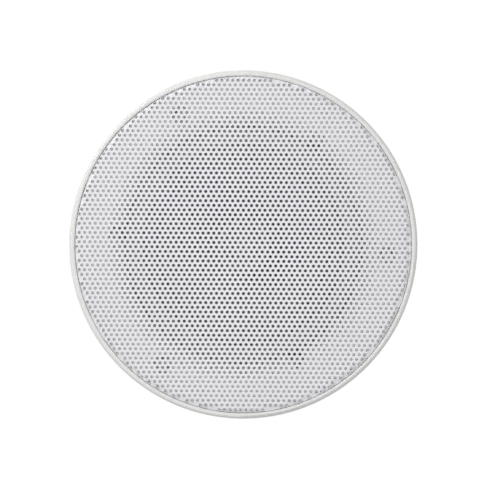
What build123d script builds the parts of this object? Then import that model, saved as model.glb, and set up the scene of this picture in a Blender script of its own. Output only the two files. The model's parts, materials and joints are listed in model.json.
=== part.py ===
from build123d import *

import os
from math import asin, cos, degrees, radians, sin, sqrt

# Round two-way in-ceiling loudspeaker, in millimetres. +Z points up into the ceiling, the flange's rear
# face lies at z = 0 against the ceiling board, and the grille faces down. Sizes ending in _d are diameters.

# Frame: rim bead, flat ring, dish and neck of the white moulding
flange_d = 230.0
rim_w = 3.65
rim_h = 7.0
rim_crown = 1.4
rim_drop = 0.35
floor_t = 2.5
neck_d = 206.0
neck_wall = 2.5
neck_h = 7.0
dish_gap = 11.0
dish_turn = 65.0
dish_wall = 2.5
rib_t = 2.0
rib_drop = 1.0
rib_angles = (30.0, 46.0, 76.0, 92.0)

# Woofer seat: a ledge in the frame that the basket's flange lies against
seat_z = 12.0
seat_t = 2.5
seat_open_clear = 0.7
seat_clear = 0.4

# Grille: steel sheet with a rolled edge
grille_t = 0.8
grille_gap = 0.2
grille_inset = 0.5
grille_bend = 1.2
hole_pitch = 3.545
hole_d = 2.1
pattern_step = 5
pattern_margin = 5.0
hole_sides = 8
grip_count = 12
grip_w = 4.0
grip_t = 1.2
grip_h = 1.8
grip_clear = 0.1

# Clamps: screw in a well, guide tower and swing-out dog leg
clamp_count = 3
clamp_angle = 4.0
well_d = 12.0
well_wall = 1.4
well_depth = 6.5
well_floor = 2.5
well_inset = 0.1
screw_d = 4.0
screw_clear = 0.08
screw_seat = 0.1
screw_tip = 3.0
pan_d = 8.0
pan_h = 2.6
cross_w = 1.0
cross_l = 4.4
cross_depth = 1.4
tower_h = 54.0
tower_wall = 1.8
tower_clear = 0.7
tower_cap = 2.5
dog_stop_clear = 0.4
brace_h = 26.0
brace_l = 7.0
dog_hub_d = 10.0
dog_hub_h = 13.0
dog_w = 8.4
dog_t = 5.0
dog_reach = 27.0
dog_foot = 2.0
dog_foot_l = 5.0
dog_web_t = 3.0
dog_swing = 105.0
dog_cap_clear = 0.8

# Woofer: pressed basket with three ears
basket_d = 158.0
basket_t = 1.2
basket_wall_d = 139.6
basket_waist_d = 112.0
ledge_z = 37.4
cup_d = 90.4
cup_h = 11.6
cup_open_clear = 1.4
leg_count = 6
leg_angle = 14.0
window_foot = 5.0
window_head = 3.9
vent_angle = 26.0
vent_margin = 2.6
ear_angle = 65.0
ear_out = 6.5
ear_d = 8.0
ear_screw_d = 3.5
ear_screw_l = 7.5
ear_hole_clear = 0.45
ear_pan_d = 7.2
ear_pan_h = 2.2
boss_d = 9.0
boss_clear = 2.0
pilot_clear = 0.02

# Woofer: gasket, surround, cone, coil and spider
gasket_t = 1.6
gasket_inset = 0.5
gasket_clear = 1.0
surround_t = 0.8
roll_out_d = 133.0
roll_in_d = 113.4
roll_sides = 5
lip_w = 4.2
cone_t = 0.8
cone_drop = 6.4
cone_edge = 0.5
former_d = 25.0
former_t = 0.4
former_end = 1.0
coil_t = 0.7
coil_l = 12.0
spider_t = 0.8
spider_drop = 0.6
spider_wave = 1.5
spider_margin = 6.0
spider_folds = 2

# Magnet system
plate_d = 84.0
plate_t = 6.0
plate_edge = 0.8
magnet_d = 94.0
magnet_in_d = 34.0
magnet_h = 18.0
pole_gap = 0.4
coil_gap = 0.5
pole_inset = 0.5

# Tweeter on its post
tweeter_d = 34.0
tweeter_front = 1.6
tweeter_back = 16.0
tweeter_wall = 1.5
face_over = 0.5
face_t = 3.0
face_open_clear = 1.8
face_throat = 2.0
face_edge = 1.0
dome_h = 3.4
dome_t = 0.35
dome_sides = 5
dome_step = 0.6
dome_ring_clear = 1.5
dome_ring_t = 0.4
pot_clear = 2.0
pot_step = 1.8
pot_base = 2.0
pot_wall = 2.1
pot_gap = 2.1
pole_disc_t = 2.0
tweeter_coil_t = 0.4
tweeter_coil_gap = 0.5
tweeter_coil_l = 4.0
post_d = 8.0
post_clear = 0.05
post_foot_d = 16.0
post_foot_t = 2.0
post_nut_af = 13.0
post_nut_h = 4.0
post_end = 1.0

# Crossover board, its parts and the wire terminals, laid out from the board's centre
board_angle = 304.0
board_out = 11.2
board_l = 30.0
board_t = 1.6
board_corner = 2.0
board_z = 22.0
board_inset = 3.5
board_inset_end = 3.0
post_pillar_d = 7.0
board_screw_d = 2.5
board_screw_l = 8.0
board_pan_d = 5.0
board_pan_h = 1.8
board_hole_clear = 0.25
capacitor_d = 12.0
capacitor_l = 25.0
capacitor_edge = 1.0
capacitor_end = 8.0
capacitor_gap = 1.5
capacitor_groove = 1.2
capacitor_groove_at = 3.0
capacitor_lift = 0.1
bobbin_d = 18.0
bobbin_t = 1.2
bobbin_core_d = 7.0
winding_d = 16.0
winding_h = 9.0
bobbin_end = 4.0
bobbin_gap = 0.5
resistor_w = 7.0
resistor_l = 20.0
resistor_h = 7.0
resistor_side = 0.5
resistor_end = 7.5
resistor_edge = 0.6
block_l = 14.0
block_h = 13.0
block_slant = 2.0
block_end = 9.0
block_gap = 3.0
block_w = 28.0
pocket_y = 7.0
pocket_w = 10.0
pocket_wall = 1.0
pocket_floor = 6.8
wire_hole_d = 3.2
wire_hole_l = 10.0
wire_hole_z = 3.6
lever_clear = 0.5
lever_pivot_in = 3.5
lever_pivot_drop = 2.0
lever_pin_d = 2.0
lever_pin_l = 1.4
lever_pin_clear = 0.06
lever_heel = 1.5
lever_bend = 1.0
lever_over = 1.2
lever_pad = 3.7
lever_pad_h = 1.8
lever_nose = 0.8
lever_under = 0.5
lever_t = 2.7
spring_w = 5.0
spring_l = 6.5
spring_from = 1.5
spring_t = 0.4
spring_clear = 0.05
tab_angle = 330.0
tab_w = 16.0
tab_h = 7.0
tab_t = 1.5
tab_clear = 0.1
lug_w = 4.0
lug_t = 0.5
lug_over = 3.0
lug_spread = 8.0

# Heights and radii that follow from the sizes above
flange_r = flange_d / 2
rim_in_r = flange_r - rim_w
neck_r = neck_d / 2
dish_r = neck_r - dish_gap
basket_r = basket_d / 2
basket_wall_r = basket_wall_d / 2
ear_r = basket_r + ear_out
recess_r = basket_r + seat_clear
recess_back_r = recess_r + dish_wall
seat_open_r = basket_wall_r + seat_open_clear
seat_back_z = seat_z + seat_t
basket_front_z = seat_z - basket_t
grille_r = rim_in_r - grille_gap
grille_z = grille_inset - rim_h
well_r = well_d / 2
clamp_r = neck_r - well_r - well_wall - well_inset
well_seat_z = well_depth - well_floor
tower_r = dog_hub_d / 2 + tower_clear
dog_stop = degrees(asin((dog_w / 2 + dog_stop_clear) / tower_r))
dog_z = tower_h - tower_cap - dog_cap_clear - dog_hub_h
cup_z = ledge_z + cup_h
plate_top_z = cup_z + plate_t
magnet_top_z = plate_top_z + magnet_h
back_top_z = magnet_top_z + plate_t
former_r = former_d / 2
former_out_r = former_r + former_t
coil_out_r = former_out_r + coil_t
cup_open_r = coil_out_r + cup_open_clear
coil_mid_z = cup_z + plate_t / 2
surround_front_z = basket_front_z - surround_t
gasket_r = basket_r - gasket_inset
gasket_in_r = roll_out_d / 2 + gasket_clear
lip_r = roll_in_d / 2 - lip_w
cone_edge_r = roll_in_d / 2 + cone_edge
cone_neck_z = ledge_z - cone_drop
tweeter_r = tweeter_d / 2
tweeter_in_r = tweeter_r - tweeter_wall
face_r = tweeter_r + face_over
face_back_z = tweeter_front + face_t
pot_r = tweeter_in_r - pot_clear
pot_in_r = pot_r - pot_wall
pot_z = face_back_z + pot_step
pot_top_z = tweeter_back - tweeter_wall
pole_disc_r = pot_in_r - pot_gap
dome_r = pole_disc_r + tweeter_coil_gap + tweeter_coil_t
dome_z = face_back_z + dome_step
dome_ring_r = tweeter_in_r - dome_ring_clear
face_open_r = dome_r + face_open_clear
block_row = block_end + block_w + block_gap + bobbin_d + bobbin_end
capacitor_row = capacitor_end + capacitor_l + capacitor_gap + resistor_l + resistor_end
board_w = max(block_row, capacitor_row)
board_r = basket_wall_r + board_out
board_hole_x = board_l / 2 - board_inset
board_hole_y = board_w / 2 - board_inset_end
board_top_z = board_z + board_t
capacitor_r = capacitor_d / 2
capacitor_x = capacitor_r + capacitor_edge - board_l / 2
capacitor_y = capacitor_end + capacitor_l - board_w / 2
resistor_x = resistor_w / 2 + resistor_side - board_l / 2
resistor_y = board_w / 2 - resistor_end - resistor_l / 2
bobbin_at = (
    resistor_x + resistor_w / 2 + bobbin_gap + bobbin_d / 2,
    board_w / 2 - bobbin_end - bobbin_d / 2,
)
block_front = board_l / 2
block_back = block_front - block_l
block_y = block_end + block_w / 2 - board_w / 2
pocket_x = block_back + pocket_wall
pivot_x = block_back + lever_pivot_in
pivot_z = block_h - lever_pivot_drop
lever_w = pocket_w - 2 * lever_clear
lever_tip_x = block_front + lever_over


def polar(radius, angle):
    return (radius * cos(radians(angle)), radius * sin(radians(angle)))


def upright(radius, angle, height, turn=0.0):
    # Level plane at a point round the axis, its x axis turned from the outward direction
    x, y = polar(radius, angle)
    heading = polar(1.0, angle + turn)
    return Plane(origin=(x, y, height), x_dir=(*heading, 0.0), z_dir=(0.0, 0.0, 1.0))


def sideways(level, across, height):
    # Standing plane along a level plane's x axis, at a distance across it
    return Plane(
        origin=level.from_local_coords((0.0, across, height)),
        x_dir=level.x_dir,
        z_dir=-level.y_dir,
    )


clamp_angles = [clamp_angle + 360.0 / clamp_count * i for i in range(clamp_count)]
ear_angles = [ear_angle + 360.0 / clamp_count * i for i in range(clamp_count)]
board = upright(board_r, board_angle, 0.0)
board_holes = [(x, y) for x in (-board_hole_x, board_hole_x) for y in (-board_hole_y, board_hole_y)]
pieces = {}


def turned(outline):
    # A piece turned about the speaker's axis from its closed outline of (radius, height) corners
    with BuildPart() as piece:
        with BuildSketch(Plane.XZ):
            with BuildLine():
                Polyline(*outline, close=True)
            make_face()
        revolve(axis=Axis.Z)
    return piece


# Frame: turned section first, then wells, towers, ear bosses, pillars and ribs
rim_round = (rim_crown**2 + rim_drop**2) / (2 * rim_drop)
rim_edge = rim_w - rim_crown
dish_round = (dish_r - recess_r) / sin(radians(dish_turn))
dish_foot_z = dish_round * (1.0 - cos(radians(dish_turn))) - floor_t
dish_back_round = dish_round - floor_t
dish_back_z = dish_back_round - sqrt(dish_back_round**2 - (dish_r - recess_back_r) ** 2)
with BuildPart() as frame:
    with BuildSketch(Plane.XZ):
        with BuildLine():
            bead = RadiusArc((rim_in_r, rim_drop - rim_h), (rim_in_r + rim_crown, -rim_h), -rim_round)
            edge = RadiusArc(bead @ 1, (flange_r, rim_edge - rim_h), -rim_edge)
            Polyline(
                edge @ 1,
                (flange_r, 0.0),
                (neck_r, 0.0),
                (neck_r, neck_h),
                (neck_r - neck_wall, neck_h),
                (neck_r - neck_wall, 0.0),
                (dish_r, 0.0),
            )
            shoulder = RadiusArc((dish_r, 0.0), (recess_back_r, dish_back_z), dish_back_round)
            Polyline(
                shoulder @ 1,
                (recess_back_r, seat_back_z),
                (seat_open_r, seat_back_z),
                (seat_open_r, -floor_t),
                (rim_in_r, -floor_t),
                bead @ 0,
            )
        make_face()
    revolve(axis=Axis.Z)

    # Ribs between the neck and the dish
    for angle in [start + rib for start in clamp_angles for rib in rib_angles]:
        with BuildSketch(sideways(upright(0.0, angle, 0.0), 0.0, 0.0)):
            with BuildLine():
                Polyline(
                    (dish_r, -floor_t / 2),
                    (neck_r - neck_wall / 2, -floor_t / 2),
                    (neck_r - neck_wall / 2, neck_h - rib_drop),
                    (neck_r - neck_wall, neck_h - rib_drop),
                    close=True,
                )
            make_face()
        extrude(amount=rib_t / 2, both=True)

    # Ear bosses behind the dish
    for angle in ear_angles:
        pad_w = ear_d + 2 * (seat_clear + dish_wall)
        with BuildSketch(upright(0.0, angle, 0.0)):
            with Locations((ear_r, 0.0)):
                Circle(pad_w / 2)
            with Locations(((ear_r + recess_r) / 2, 0.0)):
                Rectangle(ear_r - recess_r, pad_w)
        extrude(amount=seat_back_z)
        with BuildSketch(upright(ear_r, angle, seat_z)):
            Circle(boss_d / 2)
        extrude(amount=board_z - boss_clear - seat_z)

    # Clamp wells and the open towers that guide the dog legs
    for angle in clamp_angles:
        with BuildSketch(upright(clamp_r, angle, -floor_t)):
            Circle(well_r + well_wall)
        extrude(amount=well_depth + floor_t)
        with BuildSketch(upright(clamp_r, angle, 0.0)):
            with BuildLine():
                tower_sweep = 360.0 - dog_swing - 2 * dog_stop
                inside = CenterArc((0.0, 0.0), tower_r, dog_stop, tower_sweep)
                outside = CenterArc((0.0, 0.0), tower_r + tower_wall, dog_stop, tower_sweep)
                Line(inside @ 0, outside @ 0)
                Line(inside @ 1, outside @ 1)
            make_face()
        extrude(amount=tower_h)
        with BuildSketch(upright(clamp_r, angle, tower_h - tower_cap)):
            Circle(tower_r + tower_wall / 3)
        extrude(amount=tower_cap)
        with BuildSketch(sideways(upright(clamp_r, angle, 0.0), 0.0, 0.0)):
            with BuildLine():
                Polyline(
                    (-tower_r - tower_wall / 2, 0.0),
                    (-tower_r - tower_wall / 2, brace_h),
                    (-tower_r - tower_wall, brace_h),
                    (-tower_r - tower_wall - brace_l, 0.0),
                    close=True,
                )
            make_face()
        extrude(amount=rib_t / 2, both=True)
        with BuildSketch(upright(clamp_r, angle, -floor_t)):
            Circle(well_r)
        extrude(amount=well_seat_z + floor_t, mode=Mode.SUBTRACT)
        with BuildSketch(upright(clamp_r, angle, well_seat_z)):
            Circle(screw_d / 2 + screw_clear)
        extrude(amount=tower_h, mode=Mode.SUBTRACT)

    # Pillars for the crossover board
    for x, y in board_holes:
        on_seat = sqrt((board_r + x) ** 2 + y**2) < recess_back_r
        pillar_foot = seat_z + seat_t / 2 if on_seat else -floor_t / 2
        with BuildSketch(board.offset(pillar_foot)):
            with Locations((x, y)):
                Circle(post_pillar_d / 2)
        extrude(amount=board_z - pillar_foot)
        with BuildSketch(board.offset(board_z - board_screw_l + board_t)):
            with Locations((x, y)):
                Circle(board_screw_d / 2 + pilot_clear)
        extrude(amount=board_screw_l, mode=Mode.SUBTRACT)

    # Rounded dish and the recess in front of the woofer's seat, with a pocket and a pilot hole for each ear
    with BuildSketch(Plane.XZ):
        with BuildLine():
            dish = RadiusArc((dish_r, -floor_t), (recess_r, dish_foot_z), dish_round)
            Polyline(dish @ 1, (recess_r, seat_z), (0.0, seat_z), (0.0, -floor_t), dish @ 0)
        make_face()
    revolve(axis=Axis.Z, mode=Mode.SUBTRACT)
    for angle in ear_angles:
        with BuildSketch(upright(0.0, angle, -floor_t)):
            with Locations((ear_r, 0.0)):
                Circle(ear_d / 2 + seat_clear)
            with Locations(((ear_r + recess_r - dish_wall) / 2, 0.0)):
                Rectangle(ear_r - recess_r + dish_wall, ear_d + 2 * seat_clear)
        extrude(amount=seat_z + floor_t, mode=Mode.SUBTRACT)
        with BuildSketch(upright(ear_r, angle, seat_z)):
            Circle(ear_screw_d / 2 + pilot_clear)
        extrude(amount=ear_screw_l, mode=Mode.SUBTRACT)

    # Short grips on the flat ring that hold the grille's rolled edge from inside
    grip_r = grille_r - grille_t - grip_clear - grip_t / 2
    with BuildSketch(Plane.XY.offset(-floor_t)):
        with PolarLocations(grip_r, grip_count):
            Rectangle(grip_t, grip_w)
    extrude(amount=-grip_h)
pieces["frame"] = frame

# Grille: rolled-edge sheet; its staggered holes are drawn at pattern_step times their true pitch and size
with BuildPart() as grille:
    with BuildSketch(Plane.XZ):
        with BuildLine():
            front = Line((0.0, grille_z), (grille_r - grille_bend, grille_z))
            roll = RadiusArc(front @ 1, (grille_r, grille_z + grille_bend), -grille_bend)
            wall = Polyline(
                roll @ 1,
                (grille_r, -floor_t),
                (grille_r - grille_t, -floor_t),
                (grille_r - grille_t, grille_z + grille_bend),
            )
            Polyline(
                wall @ 1,
                (grille_r - grille_bend, grille_z + grille_t),
                (0.0, grille_z + grille_t),
                front @ 0,
            )
        make_face()
    revolve(axis=Axis.Z)
    coarse_pitch = hole_pitch * pattern_step
    row_pitch = coarse_pitch * sqrt(3.0) / 2
    pattern_r = grille_r - grille_bend - pattern_margin
    reach = int(pattern_r / row_pitch) + 2
    sites = [
        (coarse_pitch * (i + (j % 2) / 2), row_pitch * j)
        for j in range(-reach, reach + 1)
        for i in range(-reach, reach + 1)
    ]
    sites = [(x, y) for x, y in sites if sqrt(x**2 + y**2) < pattern_r - hole_d * pattern_step / 2]
    with BuildSketch(Plane.XY.offset(grille_z)):
        with Locations(*sites):
            RegularPolygon(hole_d * pattern_step / 2, hole_sides)
    extrude(amount=grille_t, mode=Mode.SUBTRACT)
pieces["grille"] = grille

# Clamp screws: pan head with a cross slot, down in its well, and a shank up through the tower
for number, angle in enumerate(clamp_angles, start=1):
    head_z = well_seat_z - screw_seat - pan_h
    with BuildPart() as clamp_screw:
        with BuildSketch(upright(clamp_r, angle, head_z)):
            Circle(pan_d / 2)
        extrude(amount=pan_h)
        with BuildSketch(upright(clamp_r, angle, head_z + pan_h)):
            Circle(screw_d / 2)
        extrude(amount=tower_h + screw_tip - head_z - pan_h)
        with BuildSketch(upright(clamp_r, angle, head_z)):
            Rectangle(cross_l, cross_w)
            Rectangle(cross_w, cross_l)
        extrude(amount=cross_depth, mode=Mode.SUBTRACT)
    pieces[f"clamp_screw_{number}"] = clamp_screw

# Dog legs: hub on the screw, arm with a web and a foot at its tip, stowed beside the tower
for number, angle in enumerate(clamp_angles, start=1):
    stowed = upright(clamp_r, angle, dog_z, turn=-dog_swing)
    with BuildPart() as dog_leg:
        with BuildSketch(stowed):
            Circle(dog_hub_d / 2)
        extrude(amount=dog_hub_h)
        with BuildSketch(stowed):
            with Locations(((dog_reach - dog_w / 2) / 2, 0.0)):
                Rectangle(dog_reach - dog_w / 2, dog_w)
            with Locations((dog_reach - dog_w / 2, 0.0)):
                Circle(dog_w / 2)
        extrude(amount=dog_t)
        with BuildSketch(stowed):
            with Locations((dog_reach - dog_w / 2 - dog_foot_l / 2, 0.0)):
                Rectangle(dog_foot_l, dog_w)
            with Locations((dog_reach - dog_w / 2, 0.0)):
                Circle(dog_w / 2)
        extrude(amount=-dog_foot)
        with BuildSketch(sideways(stowed, 0.0, 0.0)):
            with BuildLine():
                Polyline(
                    (screw_d, dog_t / 2),
                    (dog_reach - dog_w, dog_t / 2),
                    (dog_reach - dog_w, dog_t),
                    (dog_hub_d / 2, dog_hub_h - dog_foot),
                    (screw_d, dog_hub_h - dog_foot),
                    close=True,
                )
            make_face()
        extrude(amount=dog_web_t / 2, both=True)
        with BuildSketch(stowed.offset(-dog_foot)):
            Circle(screw_d / 2 + screw_clear)
        extrude(amount=dog_hub_h + dog_foot, mode=Mode.SUBTRACT)
    pieces[f"dog_leg_{number}"] = dog_leg

# Basket: pressed steel, windows between the legs, vents below the spider's ledge and three ears
wall_slope = (basket_wall_d - basket_waist_d) / 2 / (ledge_z - seat_z)
wall_in = basket_t * sqrt(1.0 + wall_slope**2)
with BuildPart() as basket:
    with BuildSketch(Plane.XZ):
        with BuildLine():
            Polyline(
                (basket_r, basket_front_z),
                (basket_r, seat_z),
                (basket_wall_r, seat_z),
                (basket_waist_d / 2, ledge_z),
                (cup_d / 2, ledge_z),
                (cup_d / 2, cup_z),
                (cup_open_r, cup_z),
                (cup_open_r, cup_z - basket_t),
                (cup_d / 2 - basket_t, cup_z - basket_t),
                (cup_d / 2 - basket_t, ledge_z - basket_t),
                (basket_waist_d / 2 - wall_in + wall_slope * basket_t, ledge_z - basket_t),
                (basket_wall_r - wall_in + wall_slope * basket_t, basket_front_z),
                close=True,
            )
        make_face()
    revolve(axis=Axis.Z)
    for angle in ear_angles:
        with BuildSketch(upright(0.0, angle, basket_front_z)):
            with Locations((ear_r, 0.0)):
                Circle(ear_d / 2)
            with Locations(((ear_r + basket_wall_r) / 2, 0.0)):
                Rectangle(ear_r - basket_wall_r, ear_d)
        extrude(amount=basket_t)
        with BuildSketch(upright(ear_r, angle, basket_front_z)):
            Circle(ear_screw_d / 2 + ear_hole_clear)
        extrude(amount=basket_t, mode=Mode.SUBTRACT)
    window_sets = (
        (
            seat_z + window_foot,
            ledge_z - window_head,
            360.0 / leg_count - leg_angle,
            cup_d / 2,
            basket_wall_r,
        ),
        (
            ledge_z + vent_margin,
            cup_z - basket_t - vent_margin,
            vent_angle,
            cup_d / 2 - 2 * basket_t,
            cup_d / 2 + basket_t,
        ),
    )
    for low, high, width, inner_r, outer_r in window_sets:
        for angle in [360.0 / leg_count * i - width / 2 for i in range(leg_count)]:
            with BuildSketch(Plane.XY.offset(low)):
                with BuildLine():
                    inside = CenterArc((0.0, 0.0), inner_r, angle, width)
                    outside = CenterArc((0.0, 0.0), outer_r, angle, width)
                    Line(inside @ 0, outside @ 0)
                    Line(inside @ 1, outside @ 1)
                make_face()
            extrude(amount=high - low, mode=Mode.SUBTRACT)
pieces["basket"] = basket

# Woofer screws: three pan heads on the ears
with BuildPart() as woofer_screws:
    for angle in ear_angles:
        with BuildSketch(upright(ear_r, angle, basket_front_z)):
            Circle(ear_pan_d / 2)
        extrude(amount=-ear_pan_h)
        with BuildSketch(upright(ear_r, angle, basket_front_z)):
            Circle(ear_screw_d / 2)
        extrude(amount=ear_screw_l)
        with BuildSketch(upright(ear_r, angle, basket_front_z - ear_pan_h)):
            Rectangle(cross_l, cross_w)
            Rectangle(cross_w, cross_l)
        extrude(amount=cross_depth, mode=Mode.SUBTRACT)
pieces["woofer_screws"] = woofer_screws

# Gasket ring on the surround's edge
pieces["gasket"] = turned(
    [
        (gasket_in_r, surround_front_z - gasket_t),
        (gasket_r, surround_front_z - gasket_t),
        (gasket_r, surround_front_z),
        (gasket_in_r, surround_front_z),
    ]
)

# Surround: flat edge on the basket, half roll bulging forward, flat lip on the cone
roll_mid_r = (roll_out_d + roll_in_d) / 4
roll_r = (roll_out_d - roll_in_d) / 4


def roll_points(radius):
    # Corners of the half roll from its outer to its inner foot
    turns = [180.0 / roll_sides * i for i in range(roll_sides + 1)]
    return [(roll_mid_r + polar(radius, t)[0], surround_front_z - polar(radius, t)[1]) for t in turns]


pieces["surround"] = turned(
    [
        (gasket_r, surround_front_z),
        *roll_points(roll_r),
        (lip_r, surround_front_z),
        (lip_r, basket_front_z),
        (roll_mid_r - roll_r + surround_t, basket_front_z),
        *reversed(roll_points(roll_r - surround_t)),
        (roll_mid_r + roll_r - surround_t, basket_front_z),
        (gasket_r, basket_front_z),
    ]
)

# Cone: flat edge under the surround's lip, straight wall, neck on the former
cone_slope = (cone_neck_z - basket_front_z) / (lip_r - former_out_r)
cone_back = cone_t * sqrt(1.0 + cone_slope**2)
pieces["cone"] = turned(
    [
        (cone_edge_r, basket_front_z),
        (lip_r, basket_front_z),
        (former_out_r, cone_neck_z),
        (former_out_r, cone_neck_z + cone_back),
        (lip_r + (cone_back - cone_t) / cone_slope, basket_front_z + cone_t),
        (cone_edge_r, basket_front_z + cone_t),
    ]
)

# Coil former from the cone's neck into the magnet's gap, and the winding on it
coil_low_z = coil_mid_z - coil_l / 2
coil_high_z = coil_mid_z + coil_l / 2
pieces["coil_former"] = turned(
    [
        (former_r, cone_neck_z - former_end),
        (former_out_r, cone_neck_z - former_end),
        (former_out_r, coil_high_z + former_end),
        (former_r, coil_high_z + former_end),
    ]
)
pieces["voice_coil"] = turned(
    [
        (former_out_r, coil_low_z),
        (coil_out_r, coil_low_z),
        (coil_out_r, coil_high_z),
        (former_out_r, coil_high_z),
    ]
)

# Spider: pleated disc between the former and the basket's ledge
spider_r = basket_waist_d / 2 - wall_in - spider_margin / 6
ledge_front_z = ledge_z - basket_t
pleat_in_r = former_out_r + spider_margin
pleat_out_r = cup_d / 2 - spider_margin
pleat_step = (pleat_out_r - pleat_in_r) / (2 * spider_folds)
pleats = [
    (pleat_in_r + pleat_step * i, ledge_front_z - spider_drop - (spider_wave if i % 2 else 0.0))
    for i in range(2 * spider_folds + 1)
]
spider_line = [(former_out_r, pleats[0][1]), *pleats, (cup_d / 2, ledge_front_z), (spider_r, ledge_front_z)]
pieces["spider"] = turned(
    [(r, z - spider_t) for r, z in spider_line] + [(r, z) for r, z in reversed(spider_line)]
)

# Magnet system: front plate, ring magnet, back plate with its bored pole, all with broken outer edges
def outer_edge(radius, low, high):
    # Corners of a disc's rim from low to high, with a small chamfer at each end
    return [
        (radius - plate_edge, low),
        (radius, low + plate_edge),
        (radius, high - plate_edge),
        (radius - plate_edge, high),
    ]


pieces["front_plate"] = turned(
    [
        (coil_out_r + coil_gap, cup_z),
        *outer_edge(plate_d / 2, cup_z, plate_top_z),
        (coil_out_r + coil_gap, plate_top_z),
    ]
)
pieces["magnet"] = turned(
    [
        (magnet_in_d / 2, plate_top_z),
        *outer_edge(magnet_d / 2, plate_top_z, magnet_top_z),
        (magnet_in_d / 2, magnet_top_z),
    ]
)
pole_bore_r = post_d / 2 + post_clear
pole_r = former_r - pole_gap
pieces["back_plate"] = turned(
    [
        (pole_bore_r, cup_z + pole_inset),
        (pole_r, cup_z + pole_inset),
        (pole_r, magnet_top_z),
        *outer_edge(plate_d / 2, magnet_top_z, back_top_z),
        (pole_bore_r, back_top_z),
    ]
)

# Tweeter post through the pole, with its nut behind the back plate
nut_top_z = back_top_z + post_nut_h
pieces["tweeter_post"] = turned(
    [
        (0.0, tweeter_back),
        (post_foot_d / 2, tweeter_back),
        (post_foot_d / 2, tweeter_back + post_foot_t),
        (post_d / 2, tweeter_back + post_foot_t),
        (post_d / 2, nut_top_z + post_end),
        (0.0, nut_top_z + post_end),
    ]
)
with BuildPart() as post_nut:
    with BuildSketch(Plane.XY.offset(back_top_z)):
        RegularPolygon(post_nut_af / 2, 6, major_radius=False)
        Circle(post_d / 2 + post_clear, mode=Mode.SUBTRACT)
    extrude(amount=post_nut_h)
pieces["post_nut"] = post_nut

# Tweeter: housing, steel pot with magnet and pole disc, moving coil and dome, face ring
pieces["tweeter_housing"] = turned(
    [
        (tweeter_in_r, face_back_z),
        (tweeter_r, face_back_z),
        (tweeter_r, tweeter_back),
        (0.0, tweeter_back),
        (0.0, pot_top_z),
        (tweeter_in_r, pot_top_z),
    ]
)
pieces["tweeter_pot"] = turned(
    [
        (pot_in_r, pot_z),
        (pot_r, pot_z),
        (pot_r, pot_top_z),
        (0.0, pot_top_z),
        (0.0, pot_top_z - pot_base),
        (pot_in_r, pot_top_z - pot_base),
    ]
)
pieces["tweeter_magnet"] = turned(
    [
        (0.0, pot_z + pole_disc_t),
        (pole_disc_r, pot_z + pole_disc_t),
        (pole_disc_r, pot_top_z - pot_base),
        (0.0, pot_top_z - pot_base),
    ]
)
pieces["tweeter_pole_disc"] = turned(
    [
        (0.0, pot_z),
        (pole_disc_r, pot_z),
        (pole_disc_r, pot_z + pole_disc_t),
        (0.0, pot_z + pole_disc_t),
    ]
)
pieces["tweeter_coil"] = turned(
    [
        (dome_r - tweeter_coil_t, dome_z),
        (dome_r, dome_z),
        (dome_r, dome_z + tweeter_coil_l),
        (dome_r - tweeter_coil_t, dome_z + tweeter_coil_l),
    ]
)
dome_ball_r = (dome_r**2 + dome_h**2) / (2 * dome_h)


def dome_points(lift):
    # Corners of the dome's cap from its edge to its crown, on a ball through both
    steps = [dome_r * (dome_sides - i) / dome_sides for i in range(dome_sides + 1)]
    crown_z = dome_z - dome_h + dome_ball_r
    return [(r, crown_z - sqrt(dome_ball_r**2 - r**2) - lift) for r in steps]


pieces["tweeter_dome"] = turned([*dome_points(dome_t), *reversed(dome_points(0.0))])
pieces["tweeter_surround"] = turned(
    [
        (dome_r, face_back_z),
        (dome_ring_r, face_back_z),
        (dome_ring_r, face_back_z + dome_ring_t),
        (dome_r, face_back_z + dome_ring_t),
    ]
)
pieces["tweeter_face"] = turned(
    [
        (face_open_r, face_back_z),
        (face_open_r + face_throat, tweeter_front),
        (face_r - face_edge, tweeter_front),
        (face_r, tweeter_front + face_edge),
        (face_r, face_back_z),
    ]
)

# Crossover board on its pillars, with four screws
with BuildPart() as crossover_board:
    with BuildSketch(board.offset(board_z)):
        RectangleRounded(board_l, board_w, board_corner)
        with Locations(*board_holes):
            Circle(board_screw_d / 2 + board_hole_clear, mode=Mode.SUBTRACT)
    extrude(amount=board_t)
pieces["crossover_board"] = crossover_board

with BuildPart() as board_screws:
    for site in board_holes:
        with BuildSketch(board.offset(board_top_z)):
            with Locations(site):
                Circle(board_pan_d / 2)
        extrude(amount=board_pan_h)
        with BuildSketch(board.offset(board_top_z)):
            with Locations(site):
                Circle(board_screw_d / 2)
        extrude(amount=-board_screw_l)
pieces["board_screws"] = board_screws

# Capacitor lying on the board, with a rolled groove near one end
with BuildPart() as capacitor:
    lying = sideways(board, capacitor_y, board_top_z + capacitor_r + capacitor_lift)
    lengths = (capacitor_groove_at, capacitor_groove, capacitor_l - capacitor_groove_at - capacitor_groove)
    widths = (capacitor_r, capacitor_r - capacitor_groove / 2, capacitor_r)
    for step, (length, width) in enumerate(zip(lengths, widths)):
        with BuildSketch(lying.offset(sum(lengths[:step]))):
            with Locations((capacitor_x, 0.0)):
                Circle(width)
        extrude(amount=length)
pieces["capacitor"] = capacitor

# Inductor: bobbin with two flanges, and the winding between them
winding_z = board_top_z + bobbin_t
with BuildPart() as inductor_bobbin:
    for height, length, width in (
        (board_top_z, bobbin_t, bobbin_d),
        (winding_z, winding_h, bobbin_core_d),
        (winding_z + winding_h, bobbin_t, bobbin_d),
    ):
        with BuildSketch(board.offset(height)):
            with Locations(bobbin_at):
                Circle(width / 2)
        extrude(amount=length)
pieces["inductor_bobbin"] = inductor_bobbin

with BuildPart() as inductor_winding:
    with BuildSketch(board.offset(winding_z)):
        with Locations(bobbin_at):
            Circle(winding_d / 2)
            Circle(bobbin_core_d / 2, mode=Mode.SUBTRACT)
    extrude(amount=winding_h)
pieces["inductor_winding"] = inductor_winding

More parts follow.
